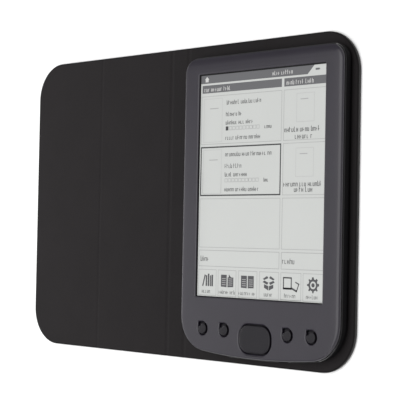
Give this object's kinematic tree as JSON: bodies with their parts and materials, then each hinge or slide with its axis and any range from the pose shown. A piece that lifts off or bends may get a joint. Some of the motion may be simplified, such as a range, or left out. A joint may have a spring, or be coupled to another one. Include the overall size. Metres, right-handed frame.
{
  "type": "e-reader in folio cover",
  "caption": "Flat e-paper reader with round function keys and a direction pad, fixed in a folding book-style cover that lies open.",
  "frame": {"origin": "centre of the open cover's footprint, on the surface it lies on", "axes": "+X to the reader's right, +Y to the top of the page, +Z out of the screen"},
  "size_m": [0.2616, 0.176, 0.011],
  "materials": {
    "bezel_plastic": "matt dark grey moulded plastic, soft to the touch",
    "housing_plastic": "matt near-black moulded plastic",
    "key_plastic": "satin near-black moulded plastic",
    "page": "matt light grey e-paper",
    "black_foam": "black foam",
    "cover_skin": "fine-grained black synthetic leather",
    "cover_lining": "black microfibre lining",
    "greyboard": "plain greyboard",
    "circuit_board": "green solder mask",
    "chip": "matt black moulded package",
    "steel": "plain steel",
    "tinned_steel": "bright tinned sheet steel",
    "magnesium": "cast light metal",
    "battery_foil": "laminated foil pouch",
    "flex_film": "amber polyimide film",
    "red_wire": "red wire insulation",
    "black_wire": "black wire insulation",
    "connector": "ivory connector plastic"
  },
  "bodies": {
    "reader": {"front_bezel": "bezel_plastic", "rear_housing": "housing_plastic", "display_panel": "page", "display_gasket": "black_foam", "display_flex": "flex_film", "flex_connector": "connector", "mid_frame": "magnesium", "main_board": "circuit_board", "shield_can": "tinned_steel", "processor": "chip", "memory_chip": "chip", "key_switch_1": "steel", "key_switch_2": "steel", "key_switch_3": "steel", "key_switch_4": "steel", "nav_switch": "steel", "power_switch": "steel", "usb_socket": "steel", "card_socket": "steel", "battery_pack": "battery_foil", "battery_connector": "connector", "battery_lead_red": "red_wire", "battery_lead_black": "black_wire", "housing_screw_1": "steel", "housing_screw_2": "steel", "housing_screw_3": "steel", "housing_screw_4": "steel", "housing_screw_5": "steel", "housing_screw_6": "steel", "board_screw_1": "steel", "board_screw_2": "steel", "board_screw_3": "steel", "board_screw_4": "steel", "adhesive_pad": "black_foam", "back_skin": "cover_skin", "back_board": "greyboard", "back_lining": "cover_lining", "spine_fold_strip": "cover_lining"},
    "spine": {"spine_skin": "cover_skin", "spine_board": "greyboard", "spine_lining": "cover_lining", "cover_fold_strip": "cover_lining"},
    "cover_inner": {"front_inner_skin": "cover_skin", "front_inner_board": "greyboard", "front_inner_lining": "cover_lining", "stand_fold_strip": "cover_lining"},
    "cover_outer": {"front_outer_skin": "cover_skin", "front_outer_board": "greyboard", "front_outer_lining": "cover_lining"},
    "key_1": {"function_key_1": "key_plastic"},
    "key_2": {"function_key_2": "key_plastic"},
    "key_3": {"function_key_3": "key_plastic"},
    "key_4": {"function_key_4": "key_plastic"},
    "pad_press": {"dpad_stem": "key_plastic"},
    "pad_rocker": {"dpad_rocker": "key_plastic"},
    "pad_cap": {"dpad_cap": "key_plastic"},
    "power_key": {"power_button": "key_plastic"}
  },
  "joints": [
    {"name": "spine_fold", "type": "hinge", "parent": "reader", "child": "spine", "pos_m": [0.007, 0, 0.00045], "axis": [0, 1, 0], "range_deg": [0, 90], "deforming": ["spine_fold_strip"]},
    {"name": "cover_fold", "type": "hinge", "parent": "spine", "child": "cover_inner", "pos_m": [-0.007, 0, 0.00045], "axis": [0, 1, 0], "range_deg": [0, 90], "deforming": ["cover_fold_strip"]},
    {"name": "stand_fold", "type": "hinge", "parent": "cover_inner", "child": "cover_outer", "pos_m": [-0.0689, 0, 0.00045], "axis": [0, -1, 0], "range_deg": [-90, 0], "deforming": ["stand_fold_strip"]},
    {"name": "key_1_press", "type": "slide", "parent": "reader", "child": "key_1", "axis": [0, 0, -1], "range_m": [0, 0.00035], "stiffness_N_per_m": 700},
    {"name": "key_2_press", "type": "slide", "parent": "reader", "child": "key_2", "axis": [0, 0, -1], "range_m": [0, 0.00035], "stiffness_N_per_m": 700},
    {"name": "key_3_press", "type": "slide", "parent": "reader", "child": "key_3", "axis": [0, 0, -1], "range_m": [0, 0.00035], "stiffness_N_per_m": 700},
    {"name": "key_4_press", "type": "slide", "parent": "reader", "child": "key_4", "axis": [0, 0, -1], "range_m": [0, 0.00035], "stiffness_N_per_m": 700},
    {"name": "pad_press", "type": "slide", "parent": "reader", "child": "pad_press", "axis": [0, 0, -1], "range_m": [0, 0.0003], "stiffness_N_per_m": 1000},
    {"name": "pad_tilt_up_down", "type": "hinge", "parent": "pad_press", "child": "pad_rocker", "pos_m": [0.0698, -0.0733, 0.0082], "axis": [1, 0, 0], "range_deg": [-2.5, 2.5], "stiffness_Nm_per_rad": 0.25},
    {"name": "pad_tilt_left_right", "type": "hinge", "parent": "pad_rocker", "child": "pad_cap", "pos_m": [0.0698, -0.0733, 0.0082], "axis": [0, 1, 0], "range_deg": [-2.5, 2.5], "stiffness_Nm_per_rad": 0.25},
    {"name": "power_press", "type": "slide", "parent": "reader", "child": "power_key", "axis": [0, 1, 0], "range_m": [0, 0.0004], "stiffness_N_per_m": 600}
  ]
}
